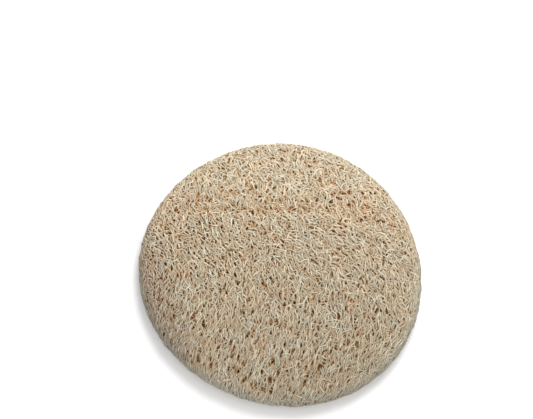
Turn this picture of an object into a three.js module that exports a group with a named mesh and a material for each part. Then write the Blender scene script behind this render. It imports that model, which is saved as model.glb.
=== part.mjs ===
// Natural loofah pad: a flat round cut from the pressed wall of a dried luffa gourd.
// It grew as one piece, so it is one mesh: a pad whose whole skin is a raised net of fibre strands.
// Pores are scattered over the upper face, the rolled rim and the underside, each one a pit, and the
// strands of the net are the crests that part every pore from its neighbours.
// Millimetres, +Z up. The origin is the middle of the flat underside that the pad lies on.
import * as THREE from "three";
import { ConvexHull } from "three/addons/math/ConvexHull.js";

// Driving dimensions of the pad
const MEAN_RADIUS = 49.7;
const THICKNESS = 8;
const EDGE_RADIUS = THICKNESS / 2; // the rim is rolled to a full round

// The cut is a little out of round: a slight oval and a slight three-cornered swell
const OUTLINE_SWELLS = [
  { lobes: 2, rise: 1.03, phase: THREE.MathUtils.degToRad(87) },
  { lobes: 3, rise: 0.47, phase: THREE.MathUtils.degToRad(167) },
];

// The raised net
const PORES = 1850;
const PORE_DEPTH = 2.1; // from the tops of the strands to the bottom of a pore
const PORE_DEPTH_SPREAD = 0.3; // share by which one pore is deeper or shallower than the next
const STRAND_LEVEL_SPREAD = 0.4; // strands cross over and under, so their crests differ in height
const GRAIN_STRETCH = 1.5; // pores are longer along the grain than across it
const GRAIN_ANGLE = THREE.MathUtils.degToRad(97); // the grain's direction across the middle
const GRAIN_TURN = THREE.MathUtils.degToRad(33); // how far it has turned by the far edge
const FIRST_SPACING = 3.6; // pores start this far apart and close up until all have a place
const SPACING_STEP = 0.985;
const TRIES_PER_SPACING = 2500;
const RELAXATIONS = 2;
const PORE_SEED = 7;

// A shallow fold across the upper face: straight, then bending away past the bend
const FOLD_Y = 22.5;
const FOLD_DEPTH = 0.6;
const FOLD_WIDTH = 4.5;
const FOLD_BEND_X = 6;
const FOLD_BEND = 0.007;

// The spot in the middle of the underside that is pressed flat
const FLAT_SPOT_RADIUS = 5;

const FIBRE_COLOUR = 0xcdb896;

// Repeatable random numbers from 0 to 1
function randomFrom(seed) {
  let state = seed >>> 0;
  return () => {
    state = (state + 0x6d2b79f5) >>> 0;
    let mixed = Math.imul(state ^ (state >>> 15), 1 | state);
    mixed = (mixed + Math.imul(mixed ^ (mixed >>> 7), 61 | mixed)) ^ mixed;
    return ((mixed ^ (mixed >>> 14)) >>> 0) / 4294967296;
  };
}

// The pad's radius in one direction from its middle
function outlineRadius(angle) {
  return OUTLINE_SWELLS.reduce(
    (radius, swell) => radius + swell.rise * Math.cos(swell.lobes * angle + swell.phase),
    MEAN_RADIUS,
  );
}

// The skin lies one edge radius off a flat lobed disc at half the thickness. For any point near the
// skin this gives the nearest point of that disc and the skin's outward normal there.
function skinNear(point) {
  const angle = Math.atan2(point.y, point.x);
  const reach = Math.min(Math.hypot(point.x, point.y), outlineRadius(angle) - EDGE_RADIUS);
  const foot = new THREE.Vector3(reach * Math.cos(angle), reach * Math.sin(angle), EDGE_RADIUS);
  return { foot, normal: point.clone().sub(foot).normalize() };
}

function skinPoint(point, depth = 0) {
  const { foot, normal } = skinNear(point);
  return foot.addScaledVector(normal, EDGE_RADIUS - depth);
}

// A random place on the skin, equally likely everywhere: both flat faces, or the rim between them
function randomPlace(random) {
  const flat = MEAN_RADIUS - EDGE_RADIUS;
  const faceArea = Math.PI * flat * flat;
  const rimArea = 2 * Math.PI * EDGE_RADIUS * (Math.PI * flat + 2 * EDGE_RADIUS);
  const angle = 2 * Math.PI * random();
  const pick = random() * (2 * faceArea + rimArea);
  const span = random();
  const turn = pick < rimArea ? Math.PI * (span - 0.5) : 0;
  const radius = pick < rimArea ? flat + EDGE_RADIUS * Math.cos(turn) : flat * Math.sqrt(span);
  const side = pick < rimArea + faceArea ? 1 : -1;
  const height = pick < rimArea ? EDGE_RADIUS * Math.sin(turn) : side * EDGE_RADIUS;
  const swell = outlineRadius(angle) / MEAN_RADIUS;
  return skinPoint(
    new THREE.Vector3(
      radius * swell * Math.cos(angle),
      radius * swell * Math.sin(angle),
      EDGE_RADIUS + height,
    ),
  );
}

// Pores thrown on to the skin at random, none nearer to another than the spacing of the moment
function scatterPores() {
  const random = randomFrom(PORE_SEED);
  const pores = [];
  let spacing = FIRST_SPACING;
  let tries = 0;
  const near = (a, b) => {
    const grain = GRAIN_ANGLE + (GRAIN_TURN * (a.y + b.y)) / (2 * MEAN_RADIUS);
    const along = (a.x - b.x) * Math.cos(grain) + (a.y - b.y) * Math.sin(grain);
    const across = (a.y - b.y) * Math.cos(grain) - (a.x - b.x) * Math.sin(grain);
    return Math.hypot(along / GRAIN_STRETCH, across, a.z - b.z) < spacing;
  };
  while (pores.length < PORES) {
    const place = randomPlace(random);
    if (!pores.some((pore) => near(pore, place))) pores.push(place);
    tries += 1;
    if (tries % TRIES_PER_SPACING === 0) spacing *= SPACING_STEP;
  }
  return pores;
}

// The skin spread over a unit sphere without changing its angles, so that the convex hull of the
// spread pores joins each pore to its nearest neighbours
function spreadOnSphere(point) {
  const { normal } = skinNear(point);
  const angle = Math.atan2(point.y, point.x);
  const flat = outlineRadius(angle) - EDGE_RADIUS;
  const halfRim = (Math.PI / 2) * (EDGE_RADIUS / (flat + (2 / Math.PI) * EDGE_RADIUS));
  const inFlat = Math.log(Math.max(1e-6, Math.min(1, Math.hypot(point.x, point.y) / flat)));
  const side = point.z > EDGE_RADIUS ? 1 : -1;
  const onRim = (halfRim * Math.asin(THREE.MathUtils.clamp(normal.z, -1, 1))) / (Math.PI / 2);
  const polar = 2 * Math.atan(Math.exp(side * inFlat - onRim));
  return new THREE.Vector3(
    Math.sin(polar) * Math.cos(angle),
    Math.sin(polar) * Math.sin(angle),
    Math.cos(polar),
  );
}

// The strands between pores: for each pair of neighbours a and b, the corners on the left and on
// the right of the line from a to b, where three pores meet
function strandsBetween(pores) {
  const spread = pores.map(spreadOnSphere);
  const number = new Map(spread.map((point, i) => [point, i]));
  const hull = new ConvexHull().setFromPoints(spread);
  const cornerOf = new Map(hull.faces.map((face, i) => [face, i]));
  const corners = [];
  const strands = [];
  for (const face of hull.faces) {
    const corner = new THREE.Vector3();
    let edge = face.edge;
    do {
      const a = number.get(edge.tail().point);
      const b = number.get(edge.head().point);
      corner.addScaledVector(pores[a], 1 / 3);
      strands.push({ a, b, left: cornerOf.get(face), right: cornerOf.get(edge.twin.face) });
      edge = edge.next;
    } while (edge !== face.edge);
    corners.push(skinPoint(corner));
  }
  return { corners, strands };
}

// Moves each pore to the middle of the corners round it, which evens out the net
function relaxed(pores) {
  const { corners, strands } = strandsBetween(pores);
  const sums = pores.map(() => new THREE.Vector3());
  const counts = pores.map(() => 0);
  for (const strand of strands) {
    sums[strand.a].add(corners[strand.left]);
    counts[strand.a] += 1;
  }
  return sums.map((sum, i) => skinPoint(sum.divideScalar(counts[i])));
}

// How far the fold lowers the upper face at a point: most along its line, fading to both sides
function foldDepth(point) {
  const past = Math.max(0, point.x - FOLD_BEND_X);
  const off = (point.y - FOLD_Y + FOLD_BEND * past * past) / FOLD_WIDTH;
  return point.z > EDGE_RADIUS ? FOLD_DEPTH * Math.exp(-off * off) : 0;
}

// A point on the skin sunk by its depth, except on the flat spot, which stays in the resting plane
function sunk(point, depth) {
  const onSpot = point.z < EDGE_RADIUS && Math.hypot(point.x, point.y) < FLAT_SPOT_RADIUS;
  return skinPoint(point, onSpot ? 0 : depth + foldDepth(point));
}

// The net as one closed surface: a fan of triangles from the bottom of each pore to its crests
function fibreNet() {
  let pores = scatterPores();
  for (let i = 0; i < RELAXATIONS; i++) pores = relaxed(pores);
  const { corners, strands } = strandsBetween(pores);
  const random = randomFrom(PORE_SEED + 1);
  const pits = pores.map((pore) => {
    const share = 1 + PORE_DEPTH_SPREAD * (2 * random() - 1);
    return sunk(pore, PORE_DEPTH * share);
  });
  const crests = corners.map((corner) => {
    const level = STRAND_LEVEL_SPREAD * (2 * random() - 1);
    return sunk(corner, Math.max(0, level));
  });
  const geometry = new THREE.BufferGeometry().setFromPoints([...pits, ...crests]);
  geometry.setIndex(
    strands.flatMap(({ a, left, right }) => [a, pits.length + right, pits.length + left]),
  );
  return geometry;
}

// Sets the pad's middle, as its box has it, over the origin
function centred(geometry) {
  geometry.computeBoundingBox();
  const middle = geometry.boundingBox.getCenter(new THREE.Vector3());
  return geometry.translate(-middle.x, -middle.y, 0);
}

const pad = new THREE.Mesh(
  centred(fibreNet()),
  new THREE.MeshStandardMaterial({
    color: FIBRE_COLOUR,
    roughness: 0.9,
    metalness: 0,
    flatShading: true,
  }),
);
pad.name = "loofah_pad";

const loofah = new THREE.Group();
loofah.add(pad);
export default loofah;
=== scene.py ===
"""A flat round natural loofah pad, built from the fibres that it grew as.

The pad is a mat of short plant strands. Sheets of strands lie one below the other on the upper face,
roll over the rim and close on the underside. The strands follow the grain and part round the pores.
Sizes are in millimetres until a mesh is made, and the meshes are in metres.
"""

from __future__ import annotations

import logging
import math
from collections.abc import Mapping
from dataclasses import dataclass
from enum import Enum
from typing import Any

import bpy
import numpy as np
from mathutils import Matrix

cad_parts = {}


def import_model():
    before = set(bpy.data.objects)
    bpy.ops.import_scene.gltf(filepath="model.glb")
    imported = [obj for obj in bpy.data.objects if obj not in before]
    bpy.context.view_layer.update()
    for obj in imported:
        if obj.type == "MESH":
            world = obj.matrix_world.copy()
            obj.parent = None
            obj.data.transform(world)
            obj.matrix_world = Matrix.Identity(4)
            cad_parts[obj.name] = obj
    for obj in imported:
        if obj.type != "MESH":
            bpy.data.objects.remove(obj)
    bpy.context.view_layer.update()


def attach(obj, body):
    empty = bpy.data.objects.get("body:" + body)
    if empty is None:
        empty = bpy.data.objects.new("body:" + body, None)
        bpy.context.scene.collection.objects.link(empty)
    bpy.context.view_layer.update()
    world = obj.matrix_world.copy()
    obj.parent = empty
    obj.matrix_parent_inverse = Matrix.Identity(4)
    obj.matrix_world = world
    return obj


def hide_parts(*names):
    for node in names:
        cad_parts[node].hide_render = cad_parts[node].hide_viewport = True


LOG = logging.getLogger("loofah")
METRES = 0.001  # one millimetre in metres
PAD_NODE = "loofah_pad"
STRAND_MAP = "OFBake"
STRAND_TINT = "tint"
# how deep a strand point lies, plus its fold shade; the fibre's colour turns it into painted shade
STRAND_SUNK = "sunk"
CELL_MARGIN = 0.08  # the share of a strand's cell in its map that stays free on each side
GOLDEN_ANGLE = math.pi * (3.0 - math.sqrt(5.0))
OUTLINE_SAMPLES = 720
POINTS_AT_ONCE = 4000
MIX_SHARE, MIX_FIRST, MIX_SECOND, MIX_RESULT = 0, 6, 7, 2  # a Mix node's colour sockets

Array = np.ndarray
Colour = tuple[float, float, float]
Vector = tuple[float, float, float]
Pair = tuple[float, float]
Span = tuple[float, float]  # lowest and highest

WHITE: Colour = (1.0, 1.0, 1.0)


class Face(Enum):
    """The two faces of the pad that a sheet of strands can start from."""

    UPPER = 1
    UNDER = -1


class Blend(Enum):
    """The ways in which one colour is laid on another."""

    MIX = "MIX"
    MULTIPLY = "MULTIPLY"


class Value:
    """A shader socket that can be used in sums, differences and products."""

    def __init__(self, graph: Graph, socket: bpy.types.NodeSocket | None) -> None:
        """Keeps the socket and the graph that it belongs to."""
        self.graph = graph
        self.socket = socket

    def _math(self, operation: str, first: Value | float, second: Value | float) -> Value:
        """Adds one Math node for two values."""
        return self.graph.node("ShaderNodeMath", {"operation": operation}, {0: first, 1: second})

    def __add__(self, other: Value | float) -> Value:
        """Adds a number or a value."""
        return self._math("ADD", self, other)

    __radd__ = __add__

    def __mul__(self, other: Value | float) -> Value:
        """Multiplies by a number or a value."""
        return self._math("MULTIPLY", self, other)

    __rmul__ = __mul__

    def __sub__(self, other: Value | float) -> Value:
        """Takes a number or a value away."""
        return self._math("SUBTRACT", self, other)

    def __rsub__(self, other: float) -> Value:
        """Takes this value away from a number."""
        return self._math("SUBTRACT", other, self)


class Graph:
    """The node tree of one material, filled one node at a time."""

    def __init__(self, name: str) -> None:
        """Starts an empty material.

        Args:
            name: The material's name.
        """
        self.material = bpy.data.materials.new(name)
        self.material.use_nodes = True
        self.tree = self.material.node_tree
        self.tree.nodes.clear()

    def node(
        self,
        kind: str,
        settings: Mapping[str, Any] | None = None,
        inputs: Mapping[int | str, Any] | None = None,
        output: int | str = 0,
    ) -> Value:
        """Adds a node, sets it up and joins its inputs.

        Args:
            kind: The node's type.
            settings: Its properties by name, such as a Math node's operation.
            inputs: A number, a colour or a Value for each socket, by index or name.
            output: The index or name of the socket to hand back.

        Returns:
            The chosen output as a Value.
        """
        made = self.tree.nodes.new(kind)
        for name, setting in (settings or {}).items():
            setattr(made, name, setting)
        for key, given in (inputs or {}).items():
            if isinstance(given, Value):
                self.tree.links.new(given.socket, made.inputs[key])
            else:
                made.inputs[key].default_value = given
        return Value(self, made.outputs[output] if made.outputs else None)

    def mixed(
        self, share: Value | float, first: Value | Colour, second: Value | Colour, blend: Blend = Blend.MIX
    ) -> Value:
        """Blends two colours by a share.

        Args:
            share: How much of the second colour shows, from 0 to 1.
            first: The colour at 0.
            second: The colour at 1.
            blend: The way of blending.

        Returns:
            The blended colour.
        """
        settings = {"data_type": "RGBA", "blend_type": blend.value, "clamp_factor": True}
        ends = [end if isinstance(end, Value) else (*end, 1.0) for end in (first, second)]
        inputs = {MIX_SHARE: share, MIX_FIRST: ends[0], MIX_SECOND: ends[1]}
        return self.node("ShaderNodeMix", settings, inputs, output=MIX_RESULT)

    def noise(self, vector: Value, scale: float, detail: float) -> Value:
        """Smooth random values from 0 to 1 with features of about one over the scale."""
        return self.node("ShaderNodeTexNoise", {}, {"Vector": vector, "Scale": scale, "Detail": detail})

    def finished(self, surface: Value) -> bpy.types.Material:
        """Joins the surface to the output and hands back the material."""
        self.node("ShaderNodeOutputMaterial", {}, {"Surface": surface})
        return self.material


@dataclass(frozen=True)
class FibreFinish:
    """Dry plant fibre: pale and tan strands, turned amber and then brown deeper in the mat as painted
    shade.

    Each strand carries a tint and, point by point, how deep it is sunk. Fine fibrils run along it,
    and wide blotches of warmer and greener fibre run across the whole pad. Painted light makes the far
    side paler, painted shade makes the near side darker and cooler, and painted shade darkens the fibre
    towards the left edge.
    """

    name: str = "dry_loofah_fibre"
    pale: Colour = (0.69, 0.635, 0.535)
    tan: Colour = (0.375, 0.303, 0.213)
    tint_share: float = 0.75
    fibril_share: float = 0.5
    tan_share: float = 0.08
    # painted light: the fibre is paler towards the far side, which the lamp behind lights
    painted_light_slope: float = 4.5
    warm: Colour = (1.03, 0.955, 0.87)
    green: Colour = (0.975, 0.98, 0.945)
    blotch_scale: float = 160.0
    blotch_contrast: float = 4.0
    blotch_start: float = 1.5
    # painted shade on the near side, darker and cooler, and an almost even tone on the far side
    near_shade_tone: Colour = (0.905, 0.955, 0.99)
    far_light_tone: Colour = (0.998, 1.013, 0.985)
    # painted shade deeper in the mat: amber in the first half of the way down, brown in the second
    near_shade_amber: Colour = (0.455, 0.325, 0.192)
    far_shade_amber: Colour = (0.50, 0.312, 0.16)
    near_shade_brown: Colour = (0.325, 0.165, 0.065)
    far_shade_brown: Colour = (0.44, 0.158, 0.043)
    side_change: float = 15.0
    side_middle: float = 0.7
    # painted shade: the fibre darkens evenly towards the left edge
    side_shade: Colour = (0.70, 0.675, 0.70)
    shade_side: Vector = (-0.940, -0.342, 0.0)
    shade_start: float = 0.034
    shade_width: float = 0.0125
    fibril_scale: Pair = (9.0, 3.0)
    noise_detail: float = 2.0
    roughness: Span = (0.72, 0.92)
    shine: float = 0.25
    bump: float = 0.35
    bump_height: float = 0.0001

    def material(self, strands: int) -> bpy.types.Material:
        """Makes the material for a sheet of strands.

        Args:
            strands: How many strands share the sheet's map, which sets the size of a strand's cell.

        Returns:
            The material.
        """
        graph = Graph(self.name)
        fibril = self.fibrils(graph, strands)
        relief = {"Strength": self.bump, "Distance": self.bump_height, "Height": fibril}
        low, high = self.roughness
        surface = graph.node(
            "ShaderNodeBsdfPrincipled",
            {},
            {
                "Base Color": self.colour(graph, fibril),
                "Roughness": fibril * (high - low) + low,
                "Specular IOR Level": self.shine,
                "Normal": graph.node("ShaderNodeBump", {}, relief),
            },
        )
        return graph.finished(surface)

    def fibrils(self, graph: Graph, strands: int) -> Value:
        """Fine streaks along every strand: noise in its own cell of the map, drawn out lengthwise.

        Args:
            graph: The material's nodes.
            strands: How many strands share the map.

        Returns:
            A number from 0 to 1.
        """
        cells = float(math.ceil(math.sqrt(strands)))
        along, round_it = self.fibril_scale
        strand = graph.node("ShaderNodeUVMap", {"uv_map": STRAND_MAP})
        scale = (cells * along, cells * round_it, 1.0)
        stretched = graph.node("ShaderNodeMapping", {}, {"Vector": strand, "Scale": scale})
        return graph.noise(stretched, 1.0, self.noise_detail)

    def colour(self, graph: Graph, fibril: Value) -> Value:
        """The fibre's colour.

        Tan is mixed with pale by the strand's tint, its fibrils and the way to the far side, which paints
        light there. The painted shade of the near side, the far side's tone and the blotches are laid over
        it. As painted shade, the first half of the way down into the mat turns it amber, and the second
        half brown. The painted shade towards the left edge comes last.

        Args:
            graph: The material's nodes.
            fibril: The streaks along the strands.

        Returns:
            The colour.
        """
        tint = graph.node("ShaderNodeAttribute", {"attribute_name": STRAND_TINT}, output="Fac")
        sunk = graph.node("ShaderNodeAttribute", {"attribute_name": STRAND_SUNK}, output="Fac")
        place = graph.node("ShaderNodeTexCoord", output="Object")
        away = graph.node("ShaderNodeSeparateXYZ", {}, {0: place}, output="Y")
        farness = away * self.side_change + self.side_middle
        streaked = tint * tint * self.tint_share + fibril * self.fibril_share
        # painted light: paler towards the far side
        far_lit_base = graph.mixed(streaked + away * self.painted_light_slope - self.tan_share, self.tan, self.pale)
        # painted shade on the near side
        tone = graph.mixed(farness, self.near_shade_tone, self.far_light_tone)
        toned = graph.mixed(1.0, far_lit_base, tone, Blend.MULTIPLY)
        toned = graph.mixed(1.0, toned, self.blotches(graph, place), Blend.MULTIPLY)
        # painted shade: amber and then brown the deeper a point lies
        sinking = sunk * 2.0
        amber = graph.mixed(farness, self.near_shade_amber, self.far_shade_amber)
        brown = graph.mixed(farness, self.near_shade_brown, self.far_shade_brown)
        deep_shaded = graph.mixed(sinking, toned, amber)
        deep_shaded = graph.mixed(sinking - 1.0, deep_shaded, brown)
        # painted shade towards the left edge
        return graph.mixed(1.0, deep_shaded, self.painted_side_shade(graph, place), Blend.MULTIPLY)

    def blotches(self, graph: Graph, place: Value) -> Value:
        """Wide patches of a greener and a warmer tone, from noise over the whole pad."""
        blotch = graph.noise(place, self.blotch_scale, self.noise_detail)
        return graph.mixed(blotch * self.blotch_contrast - self.blotch_start, self.green, self.warm)

    def painted_side_shade(self, graph: Graph, place: Value) -> Value:
        """White, and a painted shade that comes in evenly along the way to the left edge.

        Args:
            graph: The material's nodes.
            place: Where on the pad the point is.

        Returns:
            The tone to lay over the fibre's colour.
        """
        sides = {0: place, 1: self.shade_side}
        sideways = graph.node("ShaderNodeVectorMath", {"operation": "DOT_PRODUCT"}, sides, output="Value")
        return graph.mixed((sideways - self.shade_start) * (1.0 / self.shade_width), WHITE, self.side_shade)


DRY_FIBRE = FibreFinish()
# the rim's fibre: darker pale, lighter tan and less amber painted shade, so greyer and of less contrast
RIM_FIBRE = FibreFinish(
    name="low_contrast_rim_fibre",
    pale=(0.62, 0.585, 0.507),
    tan=(0.41, 0.365, 0.293),
    near_shade_amber=(0.46, 0.36, 0.25),
    far_shade_amber=(0.48, 0.35, 0.22),
)


@dataclass(frozen=True)
class FeltFinish:
    """The felt of crushed fibre deep inside the mat, dim brown as painted shade."""

    name: str = "inner_felt"
    # painted shade: the felt is dim brown because it lies in shade deep in the mat
    light: Colour = (0.43, 0.24, 0.115)
    dark: Colour = (0.23, 0.105, 0.043)
    grain_scale: float = 1400.0
    grain_detail: float = 3.0
    roughness: Span = (0.85, 0.95)
    bump: float = 0.6
    bump_height: float = 0.0003

    def material(self) -> bpy.types.Material:
        """Makes the felt: two browns of painted shade in fine grain, rough all over.

        Returns:
            The material.
        """
        graph = Graph(self.name)
        place = graph.node("ShaderNodeTexCoord", output="Object")
        grain = graph.noise(place, self.grain_scale, self.grain_detail)
        relief = {"Strength": self.bump, "Distance": self.bump_height, "Height": grain}
        low, high = self.roughness
        surface = graph.node(
            "ShaderNodeBsdfPrincipled",
            {},
            {
                "Base Color": graph.mixed(grain, self.dark, self.light),
                "Roughness": grain * (high - low) + low,
                "Normal": graph.node("ShaderNodeBump", {}, relief),
            },
        )
        return graph.finished(surface)


@dataclass(frozen=True)
class PadSkin:
    """The pad's skin: a flat lobed disc grown by the edge radius, so that its rim is a full round.

    The skin is unrolled on to a plane. Inside the flat part a plane point is a point of the face, and
    beyond it the extra length is wound round the rim. Lobes and edge waves are given as a height or a
    count of waves round the pad, and a phase.
    """

    mean_radius: float = 49.7
    edge_radius: float = 4.0
    oval: Pair = (1.03, math.radians(87))
    three_cornered: Pair = (0.47, math.radians(167))
    edge_bumps: float = 0.06
    edge_waves: tuple[Pair, ...] = ((17, 1.0), (29, 0.0), (47, 2.0))
    furthest_roll: float = 0.97
    grain_angle: float = math.radians(109)
    grain_turn: float = math.radians(33)
    grain_reach: float = 20.0
    grain_lean: float = math.radians(12)
    lean_flip_y: float = -20.0
    lean_flip_width: float = 5.0
    lean_flip_most: float = -2.0
    grain_back: float = math.radians(30)
    grain_back_widths: float = 2.0
    fold_y: float = 22.5
    fold_depth: float = 0.9
    fold_width: float = 4.5
    fold_near: float = 0.35
    fold_far: float = 1.3
    fold_bend_x: float = 6.0
    fold_bend: float = 0.007
    swell: float = 0.16
    swell_waves: tuple[Vector, ...] = ((0.17, 0.09, 0.0), (0.11, -0.21, 1.0), (0.07, 0.31, 2.0))
    near_band: float = 3.0
    band_side: float = math.radians(-50)
    left_middle: float = 0.5
    left_fade: float = 20.0

    def outline(self, angle: Array) -> Array:
        """The radius: the mean, plus a two-lobed and a three-lobed cosine and three small sine waves.

        Args:
            angle: Directions from the pad's middle.

        Returns:
            The radius in each direction.
        """
        bumps = sum(np.sin(waves * angle + phase) for waves, phase in self.edge_waves)
        return (
            self.mean_radius
            + self.oval[0] * np.cos(2 * angle + self.oval[1])
            + self.three_cornered[0] * np.cos(3 * angle + self.three_cornered[1])
            + self.edge_bumps * bumps
        )

    def flat(self, angle: Array) -> Array:
        """How far the flat part of the face reaches in each direction."""
        return self.outline(angle) - self.edge_radius

    def middle(self) -> Array:
        """The middle of the outline's own box, which lies over the origin.

        Returns:
            The point, at height 0.
        """
        angle = np.linspace(-np.pi, np.pi, OUTLINE_SAMPLES)
        x, y = self.outline(angle) * np.cos(angle), self.outline(angle) * np.sin(angle)
        return np.array([x.max() + x.min(), y.max() + y.min(), 0.0]) / 2

    def grain(self, x: Array, y: Array) -> Array:
        """The grain's direction.

        It turns from near to far along a smooth step and turns back just before the fold. It also leans
        with the way to the right, and at the near right that lean is flipped.

        Args:
            x: Plane coordinate to the right.
            y: Plane coordinate away from the viewer.

        Returns:
            The angle from the right, turning left.
        """
        flip = np.clip((y - self.lean_flip_y) / self.lean_flip_width, self.lean_flip_most, 1.0)
        flip = np.where(x > 0, flip, 1.0)
        turned = self.grain_turn * np.tanh(y / self.grain_reach)
        turned = turned + self.grain_lean * flip * x / self.mean_radius
        back = np.clip(1.0 + self.past_fold(x, y) / self.grain_back_widths, 0.0, 1.0)
        return self.grain_angle + turned - self.grain_back * back

    def band(self, angle: Array) -> Array:
        """How far the felted rim reaches up: all of the band on its own side, none on the other."""
        return self.near_band * (1.0 + np.cos(angle - self.band_side)) / 2

    def near(self, y: Array) -> Array:
        """A ramp from 0 at the pad's middle to 1 at its near edge."""
        return np.clip(-y / self.mean_radius, 0.0, 1.0)

    def left(self, x: Array, y: Array) -> Array:
        """A ramp from 0 at the pad's middle to 1 at its left edge, which fades away on the far side."""
        near_half = np.clip(self.left_middle - y / self.left_fade, 0.0, 1.0)
        return np.clip(-x / self.mean_radius, 0.0, 1.0) * near_half

    def past_fold(self, x: Array, y: Array) -> Array:
        """The way beyond the fold's line in fold widths; the line is straight, then bends nearer."""
        past = np.clip(x - self.fold_bend_x, 0.0, None)
        return (y - self.fold_y + self.fold_bend * past**2) / self.fold_width

    def beyond(self, x: Array, y: Array) -> Array:
        """A ramp from 0 to 1 across the fold's line, on the far side of which it stays 1."""
        return np.clip(self.past_fold(x, y) + 0.5, 0.0, 1.0)

    def folded(self, x: Array, y: Array) -> Array:
        """A bell curve across the fold's line, steep on its near side and gentle on its far side."""
        past = self.past_fold(x, y)
        return np.exp(-((past / np.where(past < 0, self.fold_near, self.fold_far)) ** 2))

    def sag(self, x: Array, y: Array) -> Array:
        """How far the upper face dips: the fold, and the mean of three long sine waves."""
        waves = sum(np.sin(right * x + away * y + phase) for right, away, phase in self.swell_waves)
        return self.fold_depth * self.folded(x, y) + self.swell * (1.0 + waves / len(self.swell_waves))

    def lay(self, x: Array, y: Array, depth: Array, face: Face) -> tuple[Array, Array]:
        """Lays plane points on the skin.

        The point stays in its direction from the middle. Its distance beyond the flat part becomes an
        angle round the rim, and the point is then sunk along the skin's normal.

        Args:
            x: Plane coordinate to the right.
            y: Plane coordinate away from the viewer.
            depth: How far below the skin each point lies.
            face: The face that the plane is rolled from.

        Returns:
            The points and the skin's outward normals, each with a last axis of three.
        """
        angle = np.arctan2(y, x)
        far = np.hypot(x, y)
        flat = self.flat(angle)
        turn = np.clip((far - flat) / self.edge_radius, 0.0, self.furthest_roll * np.pi)
        if face is Face.UPPER:
            depth = depth + self.sag(x, y) * np.clip(np.cos(turn), 0.0, 1.0)
        out, up = np.sin(turn), face.value * np.cos(turn)
        normal = np.stack([out * np.cos(angle), out * np.sin(angle), up], axis=-1)
        reach = np.minimum(far, flat)
        height = np.full_like(reach, self.edge_radius)
        foot = np.stack([reach * np.cos(angle), reach * np.sin(angle), height], axis=-1)
        return foot + (self.edge_radius - depth)[..., None] * normal - self.middle(), normal


@dataclass(frozen=True)
class Lenses:
    """The pores' places and sizes on the unrolled skin, one entry a pore."""

    x: Array
    y: Array
    direction: Array
    length: Array
    width: Array
    pit: Array


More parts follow.
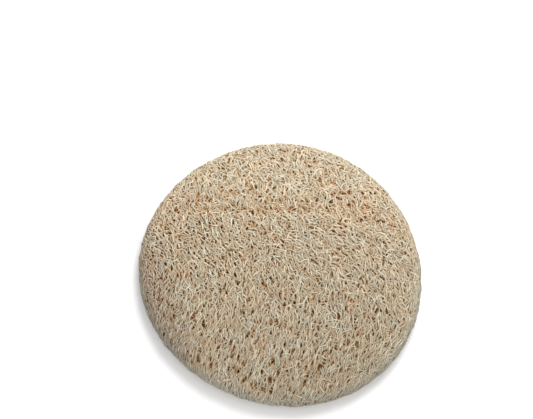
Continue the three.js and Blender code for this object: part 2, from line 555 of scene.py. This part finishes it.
@dataclass(frozen=True)
class Pores:
    """Lens-shaped openings in the mat, longer along the grain, on a loosely kept staggered grid."""

    skin: PadSkin
    across: float = 2.0
    along: float = 2.7
    past_rim: float = 8.0
    jitter: float = 0.42
    half_length: Span = (0.65, 1.4)
    half_width: Span = (0.09, 0.34)
    size_power: float = 2.0
    influence: float = 2.3
    pit: Span = (0.35, 1.5)
    pit_power: float = 1.5
    bowl: float = 1.3
    fold_gape: float = 0.1
    near_gape: float = 0.55
    near_growth: float = 1.1
    far_gape: float = 0.55
    near_stretch: float = 0.5
    widest_gape: float = 1.55
    rim_close: float = 0.75
    rim_reach: float = 8.0
    rim_reach_change: float = 6.0
    lean: float = math.radians(35)
    far_lean: float = 0.4
    seed: int = 11

    def lenses(self) -> Lenses:
        """Places the pores over the unrolled skin.

        Rows of a grid are staggered by half a step, and every pore is moved by a random share of the
        step. A power of a random number makes small pores commoner than large ones, less so near the
        viewer, where pores are longer too. How far a pore gapes depends on its place, and the depth of
        its pit on a power of another random number.

        Returns:
            The pores.
        """
        rng = np.random.default_rng(self.seed)
        radius = self.skin.mean_radius
        reach = radius + self.past_rim
        columns = np.arange(-reach, reach, self.across)
        rows = np.arange(-reach, reach, self.along)
        x, y = (grid.ravel() for grid in np.meshgrid(columns, rows))
        x = x + np.where(np.round((y + reach) / self.along) % 2 == 0, 0.0, self.across / 2)
        x = x + self.across * self.jitter * rng.uniform(-1, 1, x.size)
        y = y + self.along * self.jitter * rng.uniform(-1, 1, x.size)
        near = self.skin.near(y)
        size = rng.random(x.size) ** (self.size_power - self.near_growth * near)
        lean = rng.normal(0.0, self.lean, x.size) * (1.0 + self.far_lean * y / radius)
        return Lenses(
            x=x,
            y=y,
            direction=self.skin.grain(x, y) + lean,
            length=np.interp(size, (0, 1), self.half_length) * (1.0 + self.near_stretch * near),
            width=np.interp(size, (0, 1), self.half_width) * self.gape(x, y),
            pit=np.interp(rng.random(x.size) ** self.pit_power, (0, 1), self.pit),
        )

    def gape(self, x: Array, y: Array) -> Array:
        """How wide pores open, as a share of their own width.

        They open wider in the fold, towards the near edge and beyond the fold, up to the widest, and
        close again along a ramp to the rim, which is longer on the right than on the left.

        Args:
            x: Plane coordinates of the pores' middles to the right.
            y: Their plane coordinates away from the viewer.

        Returns:
            The share for each pore.
        """
        radius = self.skin.mean_radius
        open_by = 1.0 + self.fold_gape * self.skin.folded(x, y)
        open_by = open_by + self.near_gape * self.skin.near(y) + self.far_gape * self.skin.beyond(x, y)
        ramp = self.rim_reach + self.rim_reach_change * x / radius
        at_rim = np.clip((np.hypot(x, y) - radius) / ramp + 1, 0, 1)
        return np.minimum(open_by, self.widest_gape) - self.rim_close * at_rim

    def parted(self, x: Array, y: Array, opening: float) -> tuple[Array, Array, Array]:
        """Moves plane points out of the pores.

        Across a pore, the distances from 0 to its influence are squeezed into those from the lens's
        edge to the influence, and the lens narrows as a parabola towards its two ends. What still
        crosses a pore sinks into it, most at its middle, in the shape of a bowl.

        Args:
            x: Plane coordinates to the right.
            y: Plane coordinates away from the viewer.
            opening: The share of their full width that the pores have in this sheet.

        Returns:
            The moved coordinates, and how far each point sinks.
        """
        lens = self.lenses()
        cosine, sine = np.cos(lens.direction), np.sin(lens.direction)
        flat_x, flat_y = x.ravel(), y.ravel()
        moved_x, moved_y, sunk = flat_x.copy(), flat_y.copy(), np.zeros_like(flat_x)
        for block in np.array_split(np.arange(flat_x.size), flat_x.size // POINTS_AT_ONCE + 1):
            dx = flat_x[block, None] - lens.x
            dy = flat_y[block, None] - lens.y
            u = dx * cosine + dy * sine
            v = dy * cosine - dx * sine
            edge = opening * lens.width * np.clip(1 - (u / lens.length) ** 2, 0, None)
            push = np.sign(v) * edge * np.clip(1 - np.abs(v) / (self.influence * lens.width), 0, None)
            moved_x[block] -= (push * sine).sum(axis=1)
            moved_y[block] += (push * cosine).sum(axis=1)
            bowl = 1 - (u / lens.length) ** 2 - (v / (self.bowl * lens.width)) ** 2
            sunk[block] = opening * (lens.pit * np.sqrt(np.clip(bowl, 0, None))).max(axis=1)
        return moved_x.reshape(x.shape), moved_y.reshape(y.shape), sunk.reshape(x.shape)


@dataclass(frozen=True)
class Strands:
    """Strands ready to be made solid: arrays with a row a strand and a column a step along it."""

    middles: Array
    normals: Array
    widths: Array
    flatness: Array
    tint: Array
    sunk: Array

    def as_tubes(self, name: str, sides: int) -> bpy.types.Object:
        """Makes every strand a closed tube and puts them all in one object.

        Args:
            name: The object's name.
            sides: How many points a ring has.

        Returns:
            The new object.
        """
        count, steps = self.widths.shape
        quads = count * (steps - 1) * sides
        sizes = np.concatenate([np.full(quads, 4), np.full(2 * count, sides)])
        loops, places = self.faces(sides)
        mesh = mesh_of(name, self.rings(sides).reshape(-1, 3), loops, sizes)
        layer = mesh.uv_layers.new(name=STRAND_MAP)
        layer.uv.foreach_set("vector", places.ravel().astype(np.float32))
        spread = np.ones((count, steps, sides))
        add_values(mesh, STRAND_TINT, self.tint[:, None, None] * spread)
        add_values(mesh, STRAND_SUNK, self.sunk[:, :, None] * spread)
        return placed(name, mesh)

    def rings(self, sides: int) -> Array:
        """The tubes' points.

        A ring of points stands at each step, an ellipse across the strand's direction whose short axis
        is along the skin's normal. What would reach below the floor is pressed flat on it.

        Args:
            sides: How many points a ring has.

        Returns:
            The points by strand, step and side.
        """
        ahead = unit(np.gradient(self.middles, axis=1))
        aside = unit(np.cross(ahead, self.normals))
        above = np.cross(aside, ahead)
        turn = 2 * np.pi * np.arange(sides) / sides
        half = self.widths[:, :, None, None] / 2
        height = self.flatness[:, None, None, None] * np.sin(turn)[:, None]
        ring = np.cos(turn)[:, None] * aside[:, :, None, :] + height * above[:, :, None, :]
        points = self.middles[:, :, None, :] + half * ring
        points[..., 2] = np.maximum(points[..., 2], 0.0)
        return points

    def faces(self, sides: int) -> tuple[Array, Array]:
        """The tubes' faces and their places in the map.

        Quads join ring to ring, and a flat face closes each end. The map is a square of cells, one a
        strand, with the way along the strand to the right and the way round it upwards.

        Args:
            sides: How many points a ring has.

        Returns:
            The point numbers of all faces one after another, and the map's coordinates for each.
        """
        count, steps = self.widths.shape
        numbers = np.arange(count), np.arange(steps - 1), np.arange(sides)
        strand, step, side = (grid[..., None] for grid in np.meshgrid(*numbers, indexing="ij"))
        step = step + np.array([0, 1, 1, 0])
        side = side + np.array([0, 0, 1, 1])
        quads = (strand * steps + step) * sides + side % sides
        each = np.arange(count)[:, None]
        first = each * steps * sides + np.arange(sides)
        last = first[:, ::-1] + (steps - 1) * sides
        loops = np.concatenate([quads.ravel(), first.ravel(), last.ravel()])

        cells = math.ceil(math.sqrt(count))
        quad_u = (strand % cells + in_cell(step / (steps - 1))) / cells
        quad_v = (strand // cells + in_cell(side / sides)) / cells
        column = each % cells + np.zeros(sides)
        first_u = (column + CELL_MARGIN) / cells
        last_u = (column + 1 - CELL_MARGIN) / cells
        end_v = (each // cells + in_cell(np.arange(sides) / sides)) / cells
        u = np.concatenate([quad_u.ravel(), first_u.ravel(), last_u.ravel()])
        v = np.concatenate([quad_v.ravel(), end_v.ravel(), end_v[:, ::-1].ravel()])
        return loops, np.stack([u, v], axis=-1)


def unit(vectors: Array) -> Array:
    """The vectors along the last axis at length one."""
    return vectors / np.linalg.norm(vectors, axis=-1, keepdims=True)


def in_cell(share: Array) -> Array:
    """A share of the way across a cell of the map, inside the cell's margins."""
    return CELL_MARGIN + (1 - 2 * CELL_MARGIN) * share


def mesh_of(name: str, points: Array, loops: Array, sizes: Array) -> bpy.types.Mesh:
    """Makes a smooth-shaded mesh from arrays.

    Args:
        name: The mesh's name.
        points: Points in millimetres, one a row.
        loops: The point numbers of all faces, one after another.
        sizes: How many corners each face has.

    Returns:
        The mesh, in metres.
    """
    mesh = bpy.data.meshes.new(name)
    mesh.vertices.add(len(points))
    mesh.vertices.foreach_set("co", (points * METRES).ravel().astype(np.float32))
    mesh.loops.add(loops.size)
    mesh.loops.foreach_set("vertex_index", loops.astype(np.int32))
    mesh.polygons.add(sizes.size)
    mesh.polygons.foreach_set("loop_start", (np.cumsum(sizes) - sizes).astype(np.int32))
    mesh.update(calc_edges=True)
    mesh.validate()
    mesh.shade_smooth()
    return mesh


def add_values(mesh: bpy.types.Mesh, name: str, values: Array) -> None:
    """Stores one number a point under a name that materials can read."""
    attribute = mesh.attributes.new(name, "FLOAT", "POINT")
    attribute.data.foreach_set("value", values.ravel().astype(np.float32))


def placed(name: str, mesh: bpy.types.Mesh) -> bpy.types.Object:
    """Puts a mesh into the scene at the origin.

    Args:
        name: The object's name.
        mesh: Its mesh.

    Returns:
        The new object.
    """
    piece = bpy.data.objects.new(name, mesh)
    bpy.context.scene.collection.objects.link(piece)
    return piece


def joined_to_pad(piece: bpy.types.Object, material: bpy.types.Material) -> bpy.types.Object:
    """Gives a piece its material, ties it to the pad's body and lets it stand for the pad's node.

    Args:
        piece: The piece.
        material: Its finish.

    Returns:
        The same piece.
    """
    piece.data.materials.append(material)
    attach(piece, "root")
    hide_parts(PAD_NODE)
    return piece


@dataclass(frozen=True)
class Zones:
    """How far each strand is in the near, the left and the far part of the pad, from 0 to 1."""

    near: Array
    left: Array
    beyond: Array


@dataclass(frozen=True)
class Lie:
    """How strands lie in the parts of the pad, each as a share of what they have in its middle.

    Near the viewer they are combed straighter and longer, on the left they lie closer to the grain,
    and beyond the fold they curl.
    """

    loose_near: float = -0.4
    loose_left: float = -0.3
    lean_far: float = 0.6
    lean_left: float = -0.25
    curl_near: float = -0.4
    curl_beyond: float = 1.0
    length_near: float = 0.45
    length_beyond: float = 0.2
    width_near: float = -0.1
    width_beyond: float = 0.1


@dataclass(frozen=True)
class StrandSheet:
    """One sheet of strands at one depth in the mat.

    Every strand draws its own depth, length and width from the sheet's spans. The opening is the share
    of their width that pores have in the sheet, and over_rim is how far past the flat part it rolls.
    """

    name: str
    pores: Pores
    count: int
    depth: Span
    length: Span
    width: Span
    seed: int
    face: Face = Face.UPPER
    finish: FibreFinish = DRY_FIBRE
    lie: Lie = Lie()
    sides: int = 3
    steps: int = 5
    opening: float = 1.0
    over_rim: float = 6.0
    on_rim: bool = False
    rim_start: float = 5.0
    jog: float = 0.3
    loose: float = 0.33
    loose_turn: float = 1.5
    lean: float = math.radians(27)
    bend: float = math.radians(34)
    ripple: float = 0.15
    ripples: int = 2
    weave: float = 0.13
    weave_length: float = 4.2
    dive: Span = (0.7, 1.3)
    dive_power: int = 5
    deepest: float = 3.2
    taper: float = 0.45
    taper_power: int = 4
    flatness: Span = (0.4, 0.65)
    tints: Span = (0.0, 1.0)
    # painted shade: strands brown from this depth on over the next span, and more in the fold
    unshaded_depth: float = 0.2
    shade_span: float = 0.75
    fold_shade: float = 0.12

    def build(self) -> bpy.types.Object:
        """Makes the sheet's object and dresses it."""
        piece = self.strands().as_tubes(self.name, self.sides)
        return joined_to_pad(piece, self.finish.material(self.count))

    def spots(self, rng: np.random.Generator) -> tuple[Array, Array]:
        """Spreads the strands' middles over the sheet.

        They lie on a sunflower's spiral: each is turned by the golden angle from the one before, and
        its squared distance grows evenly with its number, so that all have the same room. They are
        dealt out in random order and jogged sideways. The sheets of a face stop short by the width of
        the rim's felted band, and the rim's own sheet starts a little before they end.

        Args:
            rng: The sheet's random numbers.

        Returns:
            Plane coordinates to the right and away from the viewer.
        """
        skin = self.pores.skin
        order = rng.permutation(self.count)
        around = order * GOLDEN_ANGLE + self.seed
        band = skin.band(around)
        flat = skin.flat(around)
        if self.on_rim:
            inner, outer = flat + self.rim_start - band, flat + self.over_rim
        else:
            inner, outer = np.zeros(self.count), flat + self.over_rim - band
        away = np.sqrt(inner**2 + (outer**2 - inner**2) * (order + 0.5) / self.count)
        return away * np.cos(around) + rng.normal(0.0, self.jog, self.count), away * np.sin(around)

    def zones(self, x: Array, y: Array) -> Zones:
        """Tells in which part of the pad each strand is.

        Args:
            x: Plane coordinates of the strands' middles to the right.
            y: Their plane coordinates away from the viewer.

        Returns:
            The shares; on the underside nothing is beyond the fold.
        """
        skin = self.pores.skin
        beyond = skin.beyond(x, y) if self.face is Face.UPPER else np.zeros(self.count)
        return Zones(near=skin.near(y), left=skin.left(x, y), beyond=beyond)

    def headings(self, rng: np.random.Generator, x: Array, y: Array, zones: Zones) -> Array:
        """The direction of each strand's middle: the grain with a random lean, and the loose turn further.

        Args:
            rng: The sheet's random numbers.
            x: Plane coordinates of the strands' middles to the right.
            y: Their plane coordinates away from the viewer.
            zones: The part of the pad that each is in.

        Returns:
            The angles.
        """
        skin, lie = self.pores.skin, self.lie
        loose = self.loose * (1.0 + lie.loose_near * zones.near + lie.loose_left * zones.left)
        is_loose = rng.random(self.count) < loose
        astray = np.where(is_loose, rng.uniform(-self.loose_turn, self.loose_turn, self.count), 0.0)
        wider = 1.0 + lie.lean_far * y / skin.mean_radius + lie.lean_left * zones.left
        lean = rng.normal(0.0, self.lean, self.count) * wider
        return skin.grain(x, y) + lean + astray

    def strands(self) -> Strands:
        """Throws the strands over the sheet and lays them on the skin.

        Along a strand its heading turns by a steady bend and a small wave, and summing the steps gives
        its path, which is then parted round the pores. Its depth is the sheet's, plus a wave for passing
        over and under others, a dive at both ends and the pits that it crosses. As painted shade, it is
        browner the deeper it lies, and in the fold.

        Returns:
            The strands in millimetres.
        """
        rng = np.random.default_rng(self.seed)
        skin, lie, count = self.pores.skin, self.lie, self.count
        t = np.linspace(-0.5, 0.5, self.steps + 1)
        x, y = self.spots(rng)
        zones = self.zones(x, y)
        heading = self.headings(rng, x, y, zones)
        curl = 1.0 + lie.curl_beyond * zones.beyond + lie.curl_near * zones.near
        bend = rng.normal(0.0, self.bend, count) * curl
        ripple = rng.normal(0.0, self.ripple, count) * curl
        phase = rng.uniform(0.0, 2 * np.pi, (2, count, 1))
        longer = 1.0 + lie.length_near * zones.near + lie.length_beyond * zones.beyond
        length = rng.uniform(*self.length, count) * longer
        wave = ripple[:, None] * np.sin(2 * np.pi * self.ripples * t + phase[0])
        turned = heading[:, None] + bend[:, None] * t + wave
        step = (length / self.steps)[:, None]
        run_x = np.cumsum(np.cos(turned) * step, axis=1)
        run_y = np.cumsum(np.sin(turned) * step, axis=1)
        half = self.steps // 2
        x, y, pit = self.pores.parted(
            x[:, None] + run_x - run_x[:, half, None],
            y[:, None] + run_y - run_y[:, half, None],
            self.opening,
        )
        level = rng.uniform(*self.depth, count)[:, None]
        weave = self.weave * np.sin(2 * np.pi * t * length[:, None] / self.weave_length + phase[1])
        ends = rng.uniform(*self.dive, count)[:, None] * np.abs(2 * t) ** self.dive_power
        depth = np.clip(level + weave + ends + pit, 0.0, self.deepest)
        middles, normals = skin.lay(x, y, depth, self.face)
        wider = 1.0 + lie.width_beyond * zones.beyond + lie.width_near * zones.near
        width = rng.uniform(*self.width, count) * wider
        shaded = self.fold_shade * skin.folded(x, y) if self.face is Face.UPPER else 0.0
        return Strands(
            middles=middles,
            normals=normals,
            widths=width[:, None] * (1 - self.taper * np.abs(2 * t) ** self.taper_power),
            flatness=rng.uniform(*self.flatness, count),
            tint=rng.uniform(*self.tints, count),
            sunk=np.clip((depth - self.unshaded_depth) / self.shade_span + shaded, 0.0, 1.0),
        )


@dataclass(frozen=True)
class StrayFibres:
    """Thin loose fibres that stand out of the rim."""

    skin: PadSkin
    name: str = "stray_fibres"
    finish: FibreFinish = DRY_FIBRE
    count: int = 150
    length: Span = (1.5, 4.0)
    width: Span = (0.14, 0.26)
    sway: Span = (-1.0, 1.0)
    wound: Span = (0.5, 5.5)
    drift: Span = (-1.0, 1.0)
    root_depth: float = 0.5
    rise: Span = (0.7, 1.5)
    rise_power: float = 1.6
    taper: float = 0.6
    flatness: float = 0.9
    tints: Span = (0.4, 1.0)
    sides: int = 4
    steps: int = 6
    seed: int = 41

    def build(self) -> bpy.types.Object:
        """Makes and dresses the stray fibres."""
        piece = self.strands().as_tubes(self.name, self.sides)
        return joined_to_pad(piece, self.finish.material(self.count))

    def strands(self) -> Strands:
        """Lays the fibres along the rim.

        Each starts just inside the rim and runs along it while rising away from it: the way along the
        rim grows evenly and the rise grows with a power of the share of its length.

        Returns:
            The fibres in millimetres.
        """
        rng = np.random.default_rng(self.seed)
        t = np.linspace(0.0, 1.0, self.steps + 1)
        angle = self.drawn(rng, (-np.pi, np.pi))
        length = self.drawn(rng, self.length)
        sway = self.drawn(rng, self.sway)
        angle = angle + sway * length * t / self.skin.mean_radius
        wound = self.drawn(rng, self.wound) + self.drawn(rng, self.drift) * t
        away = self.skin.flat(angle) + wound
        depth = self.root_depth - self.drawn(rng, self.rise) * t**self.rise_power
        middles, normals = self.skin.lay(away * np.cos(angle), away * np.sin(angle), depth, Face.UPPER)
        return Strands(
            middles=middles,
            normals=normals,
            widths=self.drawn(rng, self.width) * (1 - self.taper * t),
            flatness=np.full(self.count, self.flatness),
            tint=rng.uniform(*self.tints, self.count),
            sunk=np.zeros((self.count, self.steps + 1)),
        )

    def drawn(self, rng: np.random.Generator, span: Span) -> Array:
        """One random number a fibre from a span, as a column."""
        return rng.uniform(*span, self.count)[:, None]


@dataclass(frozen=True)
class FeltCore:
    """The crushed fibre deep in the mat that closes it to light."""

    skin: PadSkin
    name: str = "inner_felt"
    finish: FeltFinish = FeltFinish()
    depth: float = 2.45
    lumps: float = 0.2
    lump_waves: tuple[Pair, Pair] = ((2.3, 0.9), (-0.7, 1.9))
    lump_fade: int = 8
    rings: int = 40
    spokes: int = 180

    def build(self) -> bpy.types.Object:
        """Makes the felt's object and dresses it.

        Quads join each ring to the next, and a fan from a point in the middle closes each end.

        Returns:
            The object.
        """
        rings = self.ring_points()
        ends = np.zeros((2, 3))
        ends[:, 2] = rings[0, :, 2].mean(), rings[-1, :, 2].mean()
        points = np.concatenate([rings.reshape(-1, 3), ends])
        numbers = np.arange(rings.shape[0] * self.spokes).reshape(-1, self.spokes)
        after = np.roll(numbers, -1, axis=1)
        quads = np.stack([numbers[:-1], numbers[1:], after[1:], after[:-1]], axis=-1)
        top_end, bottom_end = np.full((2, self.spokes), [[len(points) - 2], [len(points) - 1]])
        top = np.stack([numbers[0], after[0], top_end], axis=-1)
        bottom = np.stack([after[-1], numbers[-1], bottom_end], axis=-1)
        loops = np.concatenate([quads.ravel(), top.ravel(), bottom.ravel()])
        sizes = np.concatenate([np.full(quads.size // 4, 4), np.full(2 * self.spokes, 3)])
        piece = placed(self.name, mesh_of(self.name, points, loops, sizes))
        return joined_to_pad(piece, self.finish.material())

    def ring_points(self) -> Array:
        """The felt's rings.

        Rings of the skin, from the middle of the upper face to the rim's half height and on to the
        middle of the underside, are sunk by a steady depth with a product of two sine waves, which
        fades out towards the rim.

        Returns:
            The points by ring and spoke.
        """
        angle = np.linspace(-np.pi, np.pi, self.spokes, endpoint=False)
        edge = self.skin.flat(angle) + self.skin.edge_radius * np.pi / 2
        share = np.linspace(0.0, 1.0, self.rings + 1)[1:, None]
        x, y = share * edge * np.cos(angle), share * edge * np.sin(angle)
        first, second = (np.sin(right * x + away * y) for right, away in self.lump_waves)
        depth = self.depth + self.lumps * (first * second) * (1 - share**self.lump_fade)
        upper, _ = self.skin.lay(x, y, depth, Face.UPPER)
        under, _ = self.skin.lay(x, y, depth, Face.UNDER)
        return np.concatenate([upper, under[-2::-1]])


@dataclass(frozen=True)
class Studio:
    """A pale floor, soft light from above and behind, and the camera."""

    frame_pixels: tuple[int, int] = (533, 419)
    pad_pixel: Pair = (279.9, 271.0)
    focal_pixels: float = 1562.0
    distance: float = 0.55
    elevation: float = math.radians(68)
    aim_height: float = 0.004
    sensor: float = 36.0
    floor_half: float = 3.0
    floor_colour: Colour = (0.93, 0.93, 0.93)
    floor_roughness: float = 0.9
    sky: float = 0.8
    key_power: float = 1.0
    key_place: Vector = (0.08, 0.18, 0.25)
    key_size: float = 0.24
    fill_power: float = 1.1
    fill_place: Vector = (0.15, -0.50, 0.15)
    fill_size: float = 0.4

    def build(self) -> None:
        """Sets up the floor, the light and the camera."""
        self.lay_floor()
        self.light()
        self.aim_camera()

    def lay_floor(self) -> None:
        """Lays a square of pale, even, dull floor under the pad."""
        half = self.floor_half / METRES
        corners = np.array([[-1.0, -1.0, 0.0], [1.0, -1.0, 0.0], [1.0, 1.0, 0.0], [-1.0, 1.0, 0.0]])
        floor = placed("floor", mesh_of("floor", half * corners, np.arange(4), np.array([4])))
        graph = Graph("pale_floor")
        look = {"Base Color": (*self.floor_colour, 1.0), "Roughness": self.floor_roughness}
        surface = graph.node("ShaderNodeBsdfPrincipled", {}, look)
        floor.data.materials.append(graph.finished(surface))

    def light(self) -> None:
        """Adds an even white sky, a broad lamp close by on the far side and a more distant one in front."""
        world = bpy.data.worlds.new("soft_sky")
        world.use_nodes = True
        background = world.node_tree.nodes["Background"]
        background.inputs["Color"].default_value = (*WHITE, 1.0)
        background.inputs["Strength"].default_value = self.sky
        bpy.context.scene.world = world
        self.hang_lamp("far_key", self.key_place, self.key_size, self.key_power)
        self.hang_lamp("near_fill", self.fill_place, self.fill_size, self.fill_power)
        bpy.context.scene.view_settings.view_transform = "Standard"

    @staticmethod
    def hang_lamp(name: str, place: Vector, size: float, power: float) -> None:
        """Hangs a round lamp that faces the pad and is out of the camera's sight.

        Args:
            name: The lamp's name.
            place: Where its middle is, in metres.
            size: Its width in metres.
            power: Its power in watts.
        """
        lamp = bpy.data.lights.new(name, "AREA")
        lamp.shape = "DISK"
        lamp.size = size
        lamp.energy = power
        hung = bpy.data.objects.new(name, lamp)
        x, y, z = place
        hung.location = place
        hung.rotation_euler = (-math.atan2(y, z), math.atan2(x, math.hypot(y, z)), 0.0)
        hung.visible_camera = False
        bpy.context.scene.collection.objects.link(hung)

    def aim_camera(self) -> None:
        """Stands the camera where the pad's middle falls on its pixel of the frame."""
        wide, high = self.frame_pixels
        lens = bpy.data.cameras.new("camera")
        lens.sensor_width = self.sensor
        lens.lens = self.focal_pixels / wide * self.sensor
        lens.shift_x = (wide / 2 - self.pad_pixel[0]) / wide
        lens.shift_y = (self.pad_pixel[1] - high / 2) / wide
        camera = bpy.data.objects.new("camera", lens)
        lean = math.pi / 2 - self.elevation
        camera.location = (
            0.0,
            -self.distance * math.sin(lean),
            self.aim_height + self.distance * math.cos(lean),
        )
        camera.rotation_euler = (lean, 0.0, 0.0)
        bpy.context.scene.collection.objects.link(camera)
        bpy.context.scene.camera = camera


def sheets(skin: PadSkin) -> list[StrandSheet]:
    """The mat's sheets of strands, from the crests of the upper face down, and then the underside.

    Args:
        skin: The pad's skin.

    Returns:
        The sheets in the order in which they are made.
    """
    pores = Pores(skin)
    under_pores = Pores(
        skin, fold_gape=0.0, near_gape=0.0, far_gape=0.0, near_growth=0.0, near_stretch=0.0, seed=12
    )
    return [
        StrandSheet(
            name="crest_strands", pores=pores, count=4500, seed=21, sides=4, over_rim=6.5,
            depth=(0.05, 0.28), length=(2.6, 4.8), width=(0.36, 0.54),
            loose=0.25, lean=math.radians(30), bend=math.radians(38),
        ),
        StrandSheet(
            name="upper_strands", pores=pores, count=4600, seed=22, over_rim=6.5,
            depth=(0.1, 0.4), length=(3.0, 5.4), width=(0.38, 0.55),
            loose=0.3, lean=math.radians(32), bend=math.radians(40),
        ),
        StrandSheet(
            name="filling_strands", pores=pores, count=4600, seed=27, over_rim=6.5,
            depth=(0.2, 0.55), length=(4.0, 6.5), width=(0.4, 0.56),
        ),
        StrandSheet(
            name="middle_strands", pores=pores, count=2600, seed=23, steps=6, opening=0.85,
            depth=(0.6, 1.2), length=(4.5, 7.5), width=(0.4, 0.57),
        ),
        StrandSheet(
            name="deep_strands", pores=pores, count=2200, seed=24, opening=0.3,
            depth=(1.2, 2.1), length=(4.5, 8.5), width=(0.45, 0.65),
        ),
        StrandSheet(
            name="rim_strands", pores=pores, count=4800, seed=28, steps=4, opening=0.4, over_rim=10.5,
            depth=(0.05, 0.35), length=(2.8, 4.5), width=(0.3, 0.42),
            on_rim=True, finish=RIM_FIBRE, tints=(0.25, 0.75), weave=0.08, dive=(0.3, 0.5),
        ),
        StrandSheet(
            name="under_strands", pores=under_pores, face=Face.UNDER, count=3600, seed=25, opening=0.9,
            depth=(0.08, 0.4), length=(5.0, 8.5), width=(0.42, 0.62),
        ),
        StrandSheet(
            name="under_deep_strands", pores=under_pores, face=Face.UNDER, count=1300, seed=26, opening=0.5,
            depth=(0.5, 1.4), length=(5.0, 9.0), width=(0.42, 0.62),
        ),
    ]


def report(piece: bpy.types.Object) -> None:
    """Logs a piece's name and how many triangles its faces make."""
    triangles = len(piece.data.loops) - 2 * len(piece.data.polygons)
    LOG.info("%s: %d triangles", piece.name, triangles)


def main() -> None:
    """Builds the pad on its frame, sets the studio round it and logs each piece's triangles."""
    logging.basicConfig(level=logging.INFO, format="%(name)s %(message)s")
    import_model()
    skin = PadSkin()
    for maker in [*sheets(skin), StrayFibres(skin), FeltCore(skin)]:
        report(maker.build())
    Studio().build()


if __name__ == "__main__":
    main()
